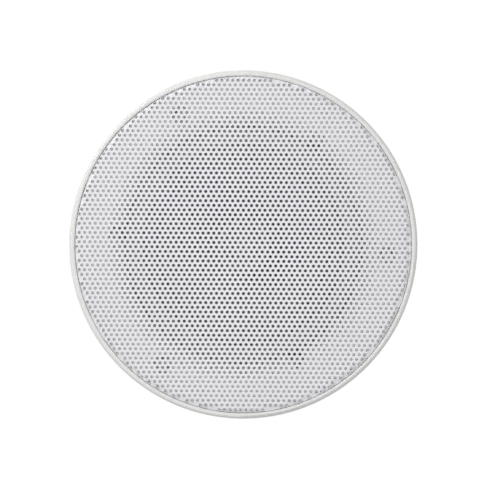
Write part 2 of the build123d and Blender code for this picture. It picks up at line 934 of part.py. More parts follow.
# Resistor: cement block on the board
with BuildPart() as resistor:
    with BuildSketch(board.offset(board_top_z)):
        with Locations((resistor_x, resistor_y)):
            Rectangle(resistor_w, resistor_l)
    extrude(amount=resistor_h)
    chamfer(resistor.faces().sort_by(Axis.Z)[-1].edges(), resistor_edge)
pieces["resistor"] = resistor

# Terminal block: a pocket for each lever, pivot holes in its cheeks and a wire hole below
pocket_sides = (block_y - pocket_y, block_y + pocket_y)
with BuildPart() as terminal_block:
    with BuildSketch(sideways(board, block_y, board_top_z)):
        with BuildLine():
            Polyline(
                (block_back, 0.0),
                (block_front, 0.0),
                (block_front, pocket_floor),
                (block_front - block_slant, block_h),
                (block_back, block_h),
                close=True,
            )
        make_face()
    extrude(amount=block_w / 2, both=True)
    for across in pocket_sides:
        with BuildSketch(sideways(board, across, board_top_z)):
            with BuildLine():
                Polyline(
                    (pocket_x, pocket_floor),
                    (block_front, pocket_floor),
                    (block_front, block_h),
                    (pocket_x, block_h),
                    close=True,
                )
            make_face()
        extrude(amount=pocket_w / 2, both=True, mode=Mode.SUBTRACT)
        with BuildSketch(sideways(board, across, board_top_z)):
            with Locations((pivot_x, pivot_z)):
                Circle(lever_pin_d / 2 + lever_pin_clear)
        extrude(amount=lever_w / 2 + lever_pin_l + lever_pin_clear, both=True, mode=Mode.SUBTRACT)
        mouth = Plane(
            origin=board.from_local_coords((block_front, across, board_top_z + wire_hole_z)),
            x_dir=board.y_dir,
            z_dir=-board.x_dir,
        )
        with BuildSketch(mouth):
            Circle(wire_hole_d / 2)
        extrude(amount=wire_hole_l, mode=Mode.SUBTRACT)
pieces["terminal_block"] = terminal_block

# Levers with their pivot pins, and the leaf springs under them
for colour, across in zip(("red", "black"), pocket_sides):
    side = sideways(board, across, board_top_z)
    lever_low = pivot_z + lever_under
    with BuildPart() as lever:
        with BuildSketch(side):
            with BuildLine():
                Polyline(
                    (pivot_x - lever_heel, pivot_z - lever_heel),
                    (pivot_x + lever_bend, pivot_z - lever_heel),
                    (pivot_x + 2 * lever_bend, lever_low),
                    (lever_tip_x - lever_nose, lever_low),
                    (lever_tip_x, lever_low + lever_nose),
                    (lever_tip_x, lever_low + lever_t + lever_pad_h),
                    (lever_tip_x - lever_pad, lever_low + lever_t + lever_pad_h),
                    (lever_tip_x - lever_pad - lever_bend, lever_low + lever_t),
                    (pivot_x - lever_heel, lever_low + lever_t),
                    close=True,
                )
            make_face()
        extrude(amount=lever_w / 2, both=True)
        with BuildSketch(side):
            with Locations((pivot_x, pivot_z)):
                Circle(lever_pin_d / 2)
        extrude(amount=lever_w / 2 + lever_pin_l, both=True)
    pieces[f"lever_{colour}"] = lever

    spring_x = pivot_x + spring_from
    spring_top = lever_low - spring_clear
    with BuildPart() as lever_spring:
        with BuildSketch(side):
            with BuildLine():
                Polyline(
                    (spring_x, pocket_floor),
                    (spring_x + spring_l, pocket_floor),
                    (spring_x + spring_l, pocket_floor + spring_t),
                    (spring_x + 4 * spring_t, pocket_floor + spring_t),
                    (spring_x + spring_l + spring_t, spring_top - spring_t),
                    (spring_x + spring_l, spring_top),
                    close=True,
                )
            make_face()
        extrude(amount=spring_w / 2, both=True)
    pieces[f"lever_spring_{colour}"] = lever_spring

# Solder tab on the basket's cup, with two lugs
tab = upright(cup_d / 2 + tab_clear, tab_angle, (ledge_z + cup_z - tab_h) / 2)
with BuildPart() as solder_tab:
    with BuildSketch(tab):
        with Locations((tab_t / 2, 0.0)):
            Rectangle(tab_t, tab_w)
    extrude(amount=tab_h)
pieces["solder_tab"] = solder_tab

with BuildPart() as solder_lugs:
    with BuildSketch(tab):
        with Locations((tab_t + lug_t / 2, -lug_spread / 2), (tab_t + lug_t / 2, lug_spread / 2)):
            Rectangle(lug_t, lug_w)
    extrude(amount=tab_h + lug_over)
pieces["solder_lugs"] = solder_lugs

os.makedirs("parts", exist_ok=True)
for name, piece in pieces.items():
    piece.part.label = name
    export_step(piece.part, f"parts/{name}.step")
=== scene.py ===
import json
import math

import bmesh
import bpy
import numpy as np
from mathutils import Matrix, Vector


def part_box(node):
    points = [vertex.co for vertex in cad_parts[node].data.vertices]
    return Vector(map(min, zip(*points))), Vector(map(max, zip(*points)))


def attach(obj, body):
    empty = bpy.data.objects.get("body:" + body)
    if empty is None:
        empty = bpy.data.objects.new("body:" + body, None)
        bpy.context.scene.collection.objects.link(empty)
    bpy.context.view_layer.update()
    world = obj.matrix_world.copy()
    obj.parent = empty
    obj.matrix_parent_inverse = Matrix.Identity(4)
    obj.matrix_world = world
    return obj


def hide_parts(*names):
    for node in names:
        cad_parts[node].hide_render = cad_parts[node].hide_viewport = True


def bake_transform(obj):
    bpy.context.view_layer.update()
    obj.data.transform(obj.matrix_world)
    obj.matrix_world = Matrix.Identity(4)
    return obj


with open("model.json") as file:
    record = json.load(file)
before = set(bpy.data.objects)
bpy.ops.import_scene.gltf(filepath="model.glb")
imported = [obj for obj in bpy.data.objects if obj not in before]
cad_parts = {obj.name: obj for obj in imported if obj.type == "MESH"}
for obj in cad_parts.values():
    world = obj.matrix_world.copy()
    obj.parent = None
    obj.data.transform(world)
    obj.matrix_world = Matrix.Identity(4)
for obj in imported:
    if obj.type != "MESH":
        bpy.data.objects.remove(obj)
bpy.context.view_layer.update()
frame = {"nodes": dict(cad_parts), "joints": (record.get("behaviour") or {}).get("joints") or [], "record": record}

scene = bpy.context.scene
scene.view_settings.view_transform = "Standard"
nodeOf = frame["nodes"]
print("frame loaded:", len(nodeOf), "nodes")

# camera: straight below the grille, looking up into the ceiling, photo top towards -Y
shot = {"distance": 1.1056, "aimX": 0.00442, "aimY": 0.00362, "lens": 120.0, "sensor": 36.0}
cameraData = bpy.data.cameras.new("frontCamera")
cameraData.lens = shot["lens"]
cameraData.sensor_width = shot["sensor"]
camera = bpy.data.objects.new("frontCamera", cameraData)
camera.location = (shot["aimX"], shot["aimY"], -shot["distance"])
camera.rotation_euler = (math.pi, 0.0, 0.0)
scene.collection.objects.link(camera)
scene.camera = camera

# studio: floor under the rim, white world for the eye and for gloss, soft lamps on both sides of the floor
studio = {
    "floorZ": -0.007,
    "floorSize": 12.0,
    "floorOpening": 0.124,
    "floorColor": (0.78, 0.78, 0.775),
    "ambientFront": 0.28,
    "ambientRear": 0.48,
    "lamps": {
        "grilleKey": {"at": (-0.85, -0.80, -1.05), "size": 0.8, "watts": 14.3},
        "grilleFront": {"at": (0.0, 0.12, -2.6), "size": 0.25, "watts": 13.6},
        "grilleFill": {"at": (0.9, 0.7, -1.3), "size": 1.2, "watts": 2.0},
        "rearKey": {"at": (-0.95, -0.80, 1.25), "size": 0.7, "watts": 15.0},
        "rearFill": {"at": (1.0, 0.8, 0.9), "size": 1.2, "watts": 3.0},
    },
}


def newMaterial(name):
    made = bpy.data.materials.new(name)
    made.use_nodes = True
    made.node_tree.nodes.clear()
    return made, made.node_tree.nodes, made.node_tree.links


def mathNode(tree, operation, *values):
    node = tree.nodes.new("ShaderNodeMath")
    node.operation = operation
    for socket, value in zip(node.inputs, values):
        if isinstance(value, bpy.types.NodeSocket):
            tree.links.new(value, socket)
        else:
            socket.default_value = value
    return node.outputs[0]


def makeFloor():
    # flat sheet: whole for the eye above it, clear for the eye below it, and open round the rim for light,
    # so the front lamps reach only the front and the rear lamps only the back
    half = studio["floorSize"] / 2
    mesh = bpy.data.meshes.new("studioFloor")
    corners = [(-half, -half), (half, -half), (half, half), (-half, half)]
    mesh.from_pydata([(x, y, studio["floorZ"]) for x, y in corners], [], [(0, 1, 2, 3)])
    floor = bpy.data.objects.new("studioFloor", mesh)
    scene.collection.objects.link(floor)
    made, nodes, links = newMaterial("studioFloor")
    path = nodes.new("ShaderNodeLightPath")
    side = nodes.new("ShaderNodeNewGeometry")
    away = nodes.new("ShaderNodeVectorMath")
    away.operation = "LENGTH"
    links.new(side.outputs["Position"], away.inputs[0])
    beyond = mathNode(made.node_tree, "GREATER_THAN", away.outputs["Value"], studio["floorOpening"])
    above = mathNode(made.node_tree, "SUBTRACT", 1.0, side.outputs["Backfacing"])
    byEye = mathNode(made.node_tree, "MULTIPLY", path.outputs["Is Camera Ray"], above)
    notEye = mathNode(made.node_tree, "SUBTRACT", 1.0, path.outputs["Is Camera Ray"])
    byLight = mathNode(made.node_tree, "MULTIPLY", notEye, beyond)
    clear = nodes.new("ShaderNodeBsdfTransparent")
    pale = nodes.new("ShaderNodeBsdfDiffuse")
    pale.inputs["Color"].default_value = (*studio["floorColor"], 1.0)
    mix = nodes.new("ShaderNodeMixShader")
    out = nodes.new("ShaderNodeOutputMaterial")
    links.new(mathNode(made.node_tree, "ADD", byEye, byLight), mix.inputs[0])
    links.new(clear.outputs[0], mix.inputs[1])
    links.new(pale.outputs[0], mix.inputs[2])
    links.new(mix.outputs[0], out.inputs["Surface"])
    mesh.materials.append(made)


def makeWorld():
    # white where the eye, gloss or glass looks; as light a softer grey, with a level on each side of the floor
    world = bpy.data.worlds.new("studioWorld")
    world.use_nodes = True
    tree = world.node_tree
    nodes, links = tree.nodes, tree.links
    nodes.clear()
    path = nodes.new("ShaderNodeLightPath")
    seen = mathNode(tree, "MAXIMUM", path.outputs["Is Camera Ray"], path.outputs["Is Glossy Ray"])
    seen = mathNode(tree, "MAXIMUM", seen, path.outputs["Is Transmission Ray"])
    coords = nodes.new("ShaderNodeTexCoord")
    split = nodes.new("ShaderNodeSeparateXYZ")
    links.new(coords.outputs["Generated"], split.inputs[0])
    above = mathNode(tree, "GREATER_THAN", split.outputs["Z"], 0.0)
    extra = mathNode(tree, "MULTIPLY", above, studio["ambientRear"] - studio["ambientFront"])
    dim = nodes.new("ShaderNodeBackground")
    dim.inputs["Color"].default_value = (1.0, 1.0, 1.0, 1.0)
    links.new(mathNode(tree, "ADD", extra, studio["ambientFront"]), dim.inputs["Strength"])
    white = nodes.new("ShaderNodeBackground")
    white.inputs["Color"].default_value = (1.0, 1.0, 1.0, 1.0)
    white.inputs["Strength"].default_value = 1.0
    mix = nodes.new("ShaderNodeMixShader")
    out = nodes.new("ShaderNodeOutputWorld")
    links.new(seen, mix.inputs[0])
    links.new(dim.outputs[0], mix.inputs[1])
    links.new(white.outputs[0], mix.inputs[2])
    links.new(mix.outputs[0], out.inputs["Surface"])
    scene.world = world


def makeLamp(name, at, size, watts):
    lampData = bpy.data.lights.new(name, "AREA")
    lampData.size = size
    lampData.energy = watts
    lamp = bpy.data.objects.new(name, lampData)
    lamp.location = at
    lamp.rotation_euler = (-lamp.location).to_track_quat("-Z", "Y").to_euler()
    scene.collection.objects.link(lamp)


makeFloor()
makeWorld()
for lampName, lampValues in studio["lamps"].items():
    makeLamp(lampName, **lampValues)
print("studio ready:", len(studio["lamps"]), "lamps")


# effects that several finishes share
def newGroup(name, inputs, outputs):
    tree = bpy.data.node_groups.new(name, "ShaderNodeTree")
    for label, kind, value in inputs:
        socket = tree.interface.new_socket(name=label, in_out="INPUT", socket_type=kind)
        socket.default_value = value
    for label, kind in outputs:
        tree.interface.new_socket(name=label, in_out="OUTPUT", socket_type=kind)
    return tree, tree.nodes.new("NodeGroupInput"), tree.nodes.new("NodeGroupOutput")


def noiseNode(tree, vector, scale, detail):
    node = tree.nodes.new("ShaderNodeTexNoise")
    node.inputs["Detail"].default_value = detail
    tree.links.new(vector, node.inputs["Vector"])
    if isinstance(scale, bpy.types.NodeSocket):
        tree.links.new(scale, node.inputs["Scale"])
    else:
        node.inputs["Scale"].default_value = scale
    return node.outputs["Fac"]


def mottleGroup():
    # colour times one plus a slow noise, roughness plus a broader smudge, and a fine grain as height
    tree, into, out = newGroup(
        "surfaceMottle",
        [
            ("Color", "NodeSocketColor", (0.5, 0.5, 0.5, 1.0)),
            ("Shade", "NodeSocketFloat", 0.05),
            ("Scale", "NodeSocketFloat", 60.0),
            ("Rough", "NodeSocketFloat", 0.4),
            ("Smudge", "NodeSocketFloat", 0.05),
            ("Grain", "NodeSocketFloat", 1200.0),
        ],
        [("Color", "NodeSocketColor"), ("Roughness", "NodeSocketFloat"), ("Height", "NodeSocketFloat")],
    )
    place = tree.nodes.new("ShaderNodeTexCoord").outputs["Object"]
    slow = noiseNode(tree, place, into.outputs["Scale"], 4.0)
    swing = mathNode(tree, "MULTIPLY_ADD", slow, 2.0, -1.0)
    gain = mathNode(tree, "MULTIPLY_ADD", swing, into.outputs["Shade"], 1.0)
    tint = tree.nodes.new("ShaderNodeVectorMath")
    tint.operation = "SCALE"
    tree.links.new(into.outputs["Color"], tint.inputs[0])
    tree.links.new(gain, tint.inputs["Scale"])
    tree.links.new(tint.outputs[0], out.inputs["Color"])
    broad = noiseNode(tree, place, mathNode(tree, "MULTIPLY", into.outputs["Scale"], 0.4), 2.0)
    drift = mathNode(tree, "MULTIPLY_ADD", broad, 2.0, -1.0)
    rough = mathNode(tree, "MULTIPLY_ADD", drift, into.outputs["Smudge"], into.outputs["Rough"])
    tree.links.new(rough, out.inputs["Roughness"])
    tree.links.new(noiseNode(tree, place, into.outputs["Grain"], 3.0), out.inputs["Height"])
    return tree


def ringsGroup():
    # height that rises and falls with the distance from the speaker's axis, as a lathe or a press leaves it
    tree, into, out = newGroup(
        "turnedRings", [("Pitch", "NodeSocketFloat", 0.0006)], [("Height", "NodeSocketFloat")]
    )
    split = tree.nodes.new("ShaderNodeSeparateXYZ")
    tree.links.new(tree.nodes.new("ShaderNodeTexCoord").outputs["Object"], split.inputs[0])
    across = mathNode(tree, "MULTIPLY", split.outputs["Y"], split.outputs["Y"])
    square = mathNode(tree, "MULTIPLY_ADD", split.outputs["X"], split.outputs["X"], across)
    radius = mathNode(tree, "SQRT", square)
    turn = mathNode(tree, "MULTIPLY", mathNode(tree, "DIVIDE", radius, into.outputs["Pitch"]), math.tau)
    wave = mathNode(tree, "SINE", turn)
    tree.links.new(mathNode(tree, "MULTIPLY_ADD", wave, 0.5, 0.5), out.inputs["Height"])
    return tree


def weaveGroup():
    # plain weave: the product of one wave along X and one along Y
    tree, into, out = newGroup(
        "plainWeave", [("Pitch", "NodeSocketFloat", 0.0008)], [("Height", "NodeSocketFloat")]
    )
    split = tree.nodes.new("ShaderNodeSeparateXYZ")
    tree.links.new(tree.nodes.new("ShaderNodeTexCoord").outputs["Object"], split.inputs[0])
    waves = []
    for axis in ("X", "Y"):
        phase = mathNode(tree, "DIVIDE", split.outputs[axis], into.outputs["Pitch"])
        waves.append(mathNode(tree, "SINE", mathNode(tree, "MULTIPLY", phase, math.tau)))
    cross = mathNode(tree, "MULTIPLY", waves[0], waves[1])
    tree.links.new(mathNode(tree, "MULTIPLY_ADD", cross, 0.5, 0.5), out.inputs["Height"])
    return tree


effects = {
    "mottle": mottleGroup(),
    "rings": ringsGroup(),
    "weave": weaveGroup(),
}

# finishes: colour, how much it varies and over what scale, gloss, metal, fine grain, a pattern and its pitch
finishes = {
    "white_moulding": {
        "color": (0.80, 0.795, 0.78), "shade": 0.015, "scale": 30.0, "rough": 0.42, "smudge": 0.05,
        "grain": 1500.0, "depth": 1.2e-5,
    },
    "white_painted_steel": {
        "color": (0.80, 0.795, 0.83), "shade": 0.012, "scale": 40.0, "rough": 0.40, "smudge": 0.05,
        "grain": 900.0, "depth": 0.8e-5,
    },
    "zinc_plated_steel": {
        "color": (0.46, 0.465, 0.485), "shade": 0.12, "scale": 90.0, "rough": 0.40, "smudge": 0.08,
        "grain": 1800.0, "depth": 0.8e-5, "metal": 1.0, "pattern": "rings", "pitch": 0.0011, "relief": 0.6e-5,
    },
    "black_nylon": {
        "color": (0.030, 0.030, 0.032), "shade": 0.20, "scale": 120.0, "rough": 0.48, "smudge": 0.06,
        "grain": 2200.0, "depth": 1.5e-5,
    },
    "phosphated_steel": {
        "color": (0.48, 0.48, 0.49), "shade": 0.20, "scale": 150.0, "rough": 0.42, "smudge": 0.08,
        "grain": 1800.0, "depth": 0.8e-5, "metal": 0.3,
    },
    "black_pressed_steel": {
        "color": (0.045, 0.045, 0.047), "shade": 0.18, "scale": 70.0, "rough": 0.36, "smudge": 0.07,
        "grain": 1300.0, "depth": 1.4e-5,
    },
    "foam_gasket": {
        "color": (0.46, 0.46, 0.465), "shade": 0.20, "scale": 500.0, "rough": 0.85, "smudge": 0.05,
        "grain": 1600.0, "depth": 1.2e-4,
    },
    "rubber_surround": {
        "color": (0.280, 0.277, 0.293), "shade": 0.15, "scale": 90.0, "rough": 0.55, "smudge": 0.08,
        "grain": 2000.0, "depth": 1.0e-5,
    },
    "cone_polymer": {
        "color": (0.320, 0.316, 0.338), "shade": 0.10, "scale": 80.0, "rough": 0.45, "smudge": 0.06,
        "grain": 1500.0, "depth": 1.0e-5, "pattern": "rings", "pitch": 0.0022, "relief": 4.0e-5,
    },
    "former_foil": {
        "color": (0.74, 0.74, 0.75), "shade": 0.06, "scale": 150.0, "rough": 0.30, "smudge": 0.08,
        "grain": 1500.0, "depth": 0.5e-5, "metal": 1.0,
    },
    "copper_winding": {
        "color": (0.62, 0.27, 0.13), "shade": 0.14, "scale": 260.0, "rough": 0.28, "smudge": 0.06,
        "grain": 1500.0, "depth": 0.4e-5, "metal": 1.0,
    },
    "spider_cloth": {
        "color": (0.50, 0.35, 0.15), "shade": 0.16, "scale": 160.0, "rough": 0.75, "smudge": 0.05,
        "grain": 1500.0, "depth": 2.0e-5, "pattern": "weave", "pitch": 0.0011, "relief": 1.5e-4,
    },
    "ferrite": {
        "color": (0.060, 0.060, 0.066), "shade": 0.25, "scale": 140.0, "rough": 0.62, "smudge": 0.08,
        "grain": 900.0, "depth": 5.0e-5,
    },
    "tweeter_plastic": {
        "color": (0.22, 0.22, 0.227), "shade": 0.10, "scale": 90.0, "rough": 0.45, "smudge": 0.05,
        "grain": 1800.0, "depth": 1.2e-5,
    },
    "dome_silk": {
        "color": (0.26, 0.26, 0.27), "shade": 0.12, "scale": 200.0, "rough": 0.60, "smudge": 0.05,
        "grain": 2500.0, "depth": 1.0e-5, "pattern": "weave", "pitch": 0.0006, "relief": 4.0e-5,
    },
    "board_laminate": {
        "color": (0.045, 0.17, 0.075), "shade": 0.22, "scale": 130.0, "rough": 0.34, "smudge": 0.06,
        "grain": 900.0, "depth": 0.8e-5, "pattern": "weave", "pitch": 0.0009, "relief": 0.8e-5,
    },
    "bobbin_plastic": {
        "color": (0.72, 0.71, 0.66), "shade": 0.04, "scale": 100.0, "rough": 0.45, "smudge": 0.05,
        "grain": 1600.0, "depth": 1.0e-5,
    },
    "cement": {
        "color": (0.76, 0.75, 0.70), "shade": 0.08, "scale": 300.0, "rough": 0.80, "smudge": 0.05,
        "grain": 1300.0, "depth": 7.0e-5,
    },
    "red_plastic": {
        "color": (0.55, 0.025, 0.025), "shade": 0.06, "scale": 150.0, "rough": 0.32, "smudge": 0.05,
        "grain": 1700.0, "depth": 0.8e-5,
    },
    "black_plastic": {
        "color": (0.028, 0.028, 0.029), "shade": 0.12, "scale": 150.0, "rough": 0.36, "smudge": 0.05,
        "grain": 1700.0, "depth": 0.9e-5,
    },
    "phenolic_tab": {
        "color": (0.22, 0.105, 0.04), "shade": 0.22, "scale": 350.0, "rough": 0.55, "smudge": 0.05,
        "grain": 1200.0, "depth": 2.0e-5,
    },
    "tinned_brass": {
        "color": (0.68, 0.65, 0.56), "shade": 0.10, "scale": 300.0, "rough": 0.30, "smudge": 0.08,
        "grain": 1500.0, "depth": 0.8e-5, "metal": 1.0,
    },
    "capacitor_sleeve": {
        "color": (0.030, 0.042, 0.115), "shade": 0.08, "scale": 120.0, "rough": 0.26, "smudge": 0.05,
        "grain": 700.0, "depth": 1.2e-5,
    },
}


def placeGroup(made, effect, values):
    node = made.node_tree.nodes.new("ShaderNodeGroup")
    node.node_tree = effects[effect]
    for label, value in values.items():
        node.inputs[label].default_value = value
    return node


def bumpOver(made, height, distance, below=None):
    # one relief on top of another; the height is taken as a share of the distance in metres
    node = made.node_tree.nodes.new("ShaderNodeBump")
    node.inputs["Strength"].default_value = 1.0
    node.inputs["Distance"].default_value = distance
    made.node_tree.links.new(height, node.inputs["Height"])
    if below is not None:
        made.node_tree.links.new(below, node.inputs["Normal"])
    return node.outputs["Normal"]


def makeFinish(slot, values):
    made, nodes, links = newMaterial(slot)
    shader = nodes.new("ShaderNodeBsdfPrincipled")
    shader.inputs["Metallic"].default_value = values.get("metal", 0.0)
    out = nodes.new("ShaderNodeOutputMaterial")
    links.new(shader.outputs[0], out.inputs["Surface"])
    mottle = placeGroup(
        made,
        "mottle",
        {
            "Color": (*values["color"], 1.0),
            "Shade": values["shade"],
            "Scale": values["scale"],
            "Rough": values["rough"],
            "Smudge": values["smudge"],
            "Grain": values["grain"],
        },
    )
    links.new(mottle.outputs["Color"], shader.inputs["Base Color"])
    links.new(mottle.outputs["Roughness"], shader.inputs["Roughness"])
    normal = bumpOver(made, mottle.outputs["Height"], values["depth"])
    if "pattern" in values:
        pattern = placeGroup(made, values["pattern"], {"Pitch": values["pitch"]})
        normal = bumpOver(made, pattern.outputs["Height"], values["relief"], normal)
    links.new(normal, shader.inputs["Normal"])
    return made


finishOf = {slot: makeFinish(slot, values) for slot, values in finishes.items()}
slotOf = {part["node"]: part["material_slot"] for part in frame["record"]["subparts"]}
for nodeName, slot in slotOf.items():
    nodeOf[nodeName].data.materials.clear()
    nodeOf[nodeName].data.materials.append(finishOf[slot])
print("finishes made:", len(finishOf))


# new pieces
def putPiece(name, points, faces, slot, body, replaced, crease=50.0):
    mesh = bpy.data.meshes.new(name)
    mesh.from_pydata(points.tolist(), [], [f for group in faces for f in group.tolist()])
    shape = bmesh.new()
    shape.from_mesh(mesh)
    bmesh.ops.remove_doubles(shape, verts=shape.verts, dist=1e-7)
    bmesh.ops.recalc_face_normals(shape, faces=shape.faces)
    shape.to_mesh(mesh)
    shape.free()
    mesh.shade_smooth()
    mesh.set_sharp_from_angle(angle=math.radians(crease))
    mesh.materials.append(finishOf[slot])
    piece = bpy.data.objects.new(name, mesh)
    scene.collection.objects.link(piece)
    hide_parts(replaced)
    if body:
        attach(piece, body)
    return piece


# grille: the sheet with all its holes, on a flat blank that is then bent over at its edge
grilleSheet = {
    "pitch": 3.55e-3,
    "row": 3.058e-3,
    "lean": 0.0058,
    "hole": 2.1e-3,
    "holeBack": 2.04e-3,
    "sides": 10,
    "shift": (0.15e-3, 1.87e-3),
    "settled": (-0.06e-3, -0.06e-3),
    "radius": 0.11115,
    "front": -6.5e-3,
    "foot": -2.5e-3,
    "thick": 0.8e-3,
    "bend": 1.2e-3,
    "bendSteps": 5,
    "lastHole": 0.1101,
    "holeEdge": 0.1115,
}


def bentSheet(flat, depth):
    # a point of the flat blank keeps its bearing; past the start of the bend its extra radius runs round
    # an arc and then down the skirt; depth moves it into the sheet along the normal
    g = grilleSheet
    start = g["radius"] - g["bend"]
    radius = np.hypot(flat[:, 0], flat[:, 1])
    extra = np.clip(radius - start, 0.0, None)
    angle = np.minimum(extra / g["bend"], math.pi / 2)
    drop = extra - angle * g["bend"]
    reach = np.where(extra > 0.0, start, radius) + (g["bend"] - depth) * np.sin(angle)
    height = g["front"] + g["bend"] - (g["bend"] - depth) * np.cos(angle) + drop
    scale = reach / np.maximum(radius, 1e-9)
    return np.column_stack((flat * scale[:, None], height))


def cellTriangles(sides):
    # one six-sided cell round its hole: corner k at 30 + 60 k degrees, hole point k at k and a half steps,
    # zipped together by angle
    cornerAt = [30.0 + 60.0 * k for k in range(7)]
    pointAt = [360.0 / sides * (k + 0.5) for k in range(sides + 1)]
    made, c, p = [], 0, 0
    while c < 6 or p < sides:
        if p == sides or (c < 6 and cornerAt[c + 1] <= pointAt[p + 1]):
            made.append((c, (c + 1) % 6, 6 + p % sides))
            c += 1
        else:
            made.append((c % 6, 6 + (p + 1) % sides, 6 + p % sides))
            p += 1
    return np.array(made)


def makeGrille():
    # staggered holes on rows a hair off X; each keeps the six-sided cell that is nearest to it, and the
    # outermost corners are carried out to one circle, from which plain rings run round the bend to the foot
    g = grilleSheet
    third = g["row"] / 3
    lattice = np.array(((g["pitch"] / 2, g["pitch"] / 2 * g["lean"]), (0.0, third)))
    reach = int(g["lastHole"] / (3 * third)) + 2
    row, column = np.mgrid[-reach : reach + 1, -reach : reach + 1]
    key = np.stack((2 * column + row % 2, 3 * row), axis=-1).reshape(-1, 2)
    site = key @ lattice + g["shift"]
    kept = np.hypot(site[:, 0], site[:, 1]) <= g["lastHole"]
    key, site = key[kept], site[kept]
    step = np.array([(1, 1), (0, 2), (-1, 1), (-1, -1), (0, -2), (1, -1)])
    cornerKey = (key[:, None, :] + step).reshape(-1, 2)
    cornerSet, cornerOf, uses = np.unique(cornerKey, axis=0, return_inverse=True, return_counts=True)
    cornerOf = cornerOf.reshape(-1, 6)
    corner = cornerSet @ lattice + g["shift"]
    outer = uses < 3
    corner[outer] *= (g["holeEdge"] / np.hypot(corner[outer, 0], corner[outer, 1]))[:, None]
    sides = g["sides"]
    bearing = math.tau * (np.arange(sides) + 0.5) / sides
    even = math.sqrt(math.tau / (sides * math.sin(math.tau / sides)))  # a polygon with the round hole's area
    rim = even / 2 * np.column_stack((np.cos(bearing), np.sin(bearing)))
    ring = (site[:, None, :] + g["hole"] * rim).reshape(-1, 2)
    ringBack = (site[:, None, :] + g["holeBack"] * rim).reshape(-1, 2)
    flat, flatBack = np.concatenate((corner, ring)), np.concatenate((corner, ringBack))
    total = len(flat)
    ringOf = len(corner) + np.arange(len(ring)).reshape(-1, sides)
    cells = np.concatenate((cornerOf, ringOf), axis=1)
    sheet = cells[:, cellTriangles(sides)].reshape(-1, 3)
    after = np.roll(ringOf, -1, axis=1)
    walls = np.stack((ringOf, after, after + total, ringOf + total), axis=-1).reshape(-1, 4)
    edges = np.sort(np.stack((cornerOf, np.roll(cornerOf, -1, axis=1)), axis=-1).reshape(-1, 2), axis=1)
    edgeSet, edgeUses = np.unique(edges, axis=0, return_counts=True)
    border = edgeSet[edgeUses == 1]
    outward = corner / np.hypot(corner[:, 0], corner[:, 1])[:, None]
    bendEnd = g["radius"] - g["bend"] + g["bend"] * math.pi / 2
    bendOver = bendEnd - g["front"] + g["foot"] - g["bend"]  # the blank's radius at the foot of the skirt
    rings = [*np.linspace(g["holeEdge"], bendEnd, g["bendSteps"] + 1)[1:], bendOver]
    points = [bentSheet(flat, 0.0), bentSheet(flatBack, g["thick"])]
    points += [bentSheet(outward * r, depth) for r in rings for depth in (0.0, g["thick"])]
    points = np.concatenate(points)
    points[:, :2] += g["settled"]  # the sheet lies a hair off centre in its groove
    a, b = border[:, 0], border[:, 1]
    skirt, front, back = [], 0, total
    for count in range(len(rings)):
        nextFront = 2 * total + 2 * count * len(corner)
        nextBack = nextFront + len(corner)
        skirt.append(np.column_stack((a + front, b + front, b + nextFront, a + nextFront)))
        skirt.append(np.column_stack((a + back, b + back, b + nextBack, a + nextBack)))
        front, back = nextFront, nextBack
    skirt.append(np.column_stack((a + front, b + front, b + back, a + back)))
    used = np.zeros(len(points), bool)
    used[: 2 * total] = True
    used[np.concatenate([s.ravel() for s in skirt])] = True
    renumber = np.cumsum(used) - 1
    faces = [renumber[f] for f in (sheet, sheet[:, ::-1] + total, walls, *skirt)]
    piece = putPiece("grilleSheet", points[used], faces, "white_painted_steel", "frame", "grille")
    print("grille:", len(site), "holes,", sum(len(p.vertices) - 2 for p in piece.data.polygons), "triangles")


makeGrille()


def gridPoints(x, y, z):
    # three grids of coordinates as one list of points, row by row
    return np.stack((x, y, np.broadcast_to(z, x.shape)), axis=-1).reshape(-1, 3)


def tubeFaces(rows, columns):
    # quads of a grid that closes round its columns, with a flat end before its first row and after its last
    i, j = np.mgrid[0 : rows - 1, 0:columns]
    k = (j + 1) % columns
    here, ahead = i * columns, (i + 1) * columns
    walls = np.stack((here + j, here + k, ahead + k, ahead + j), axis=-1)
    ring = np.arange(columns)
    return [walls.reshape(-1, 4), np.stack((ring, (rows - 1) * columns + ring[::-1]))]


def sectorPieces(name, outline, count, steps, slot, replaced):
    # a closed outline of (radius, height) carried round the axis in equal sectors, each its own piece closed at
    # both ends
    span = math.tau / count
    for number in range(count):
        bearing = span * (number + np.linspace(-0.5, 0.5, steps + 1))
        x = np.outer(np.cos(bearing), outline[:, 0])
        y = np.outer(np.sin(bearing), outline[:, 0])
        points = gridPoints(x, y, outline[:, 1])
        faces = tubeFaces(steps + 1, len(outline))
        piece = putPiece(f"{name}{number + 1:02d}", points, faces, slot, None, replaced, crease=60.0)
        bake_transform(piece)


def strip(middle, thick):
    # a sheet of even thickness: the middle line moved half of it to each side along its normal
    along = np.gradient(middle, axis=0)
    normal = np.column_stack((-along[:, 1], along[:, 0])) / np.hypot(along[:, 0], along[:, 1])[:, None]
    return np.concatenate((middle + normal * thick / 2, (middle - normal * thick / 2)[::-1]))


# woofer surround: flat edge on the basket, half roll towards the grille, lip on the cone
surroundRoll = {
    "outer": 0.0785, "edgeMiddle": 0.072, "rollOut": 0.0661, "rollIn": 0.0571, "lipMiddle": 0.055,
    "lip": 0.0525, "foot": 0.0004, "z": 0.0104, "thick": 0.0008, "bulge": 0.0044, "rollSteps": 19,
    "sectors": 24, "steps": 4,
}


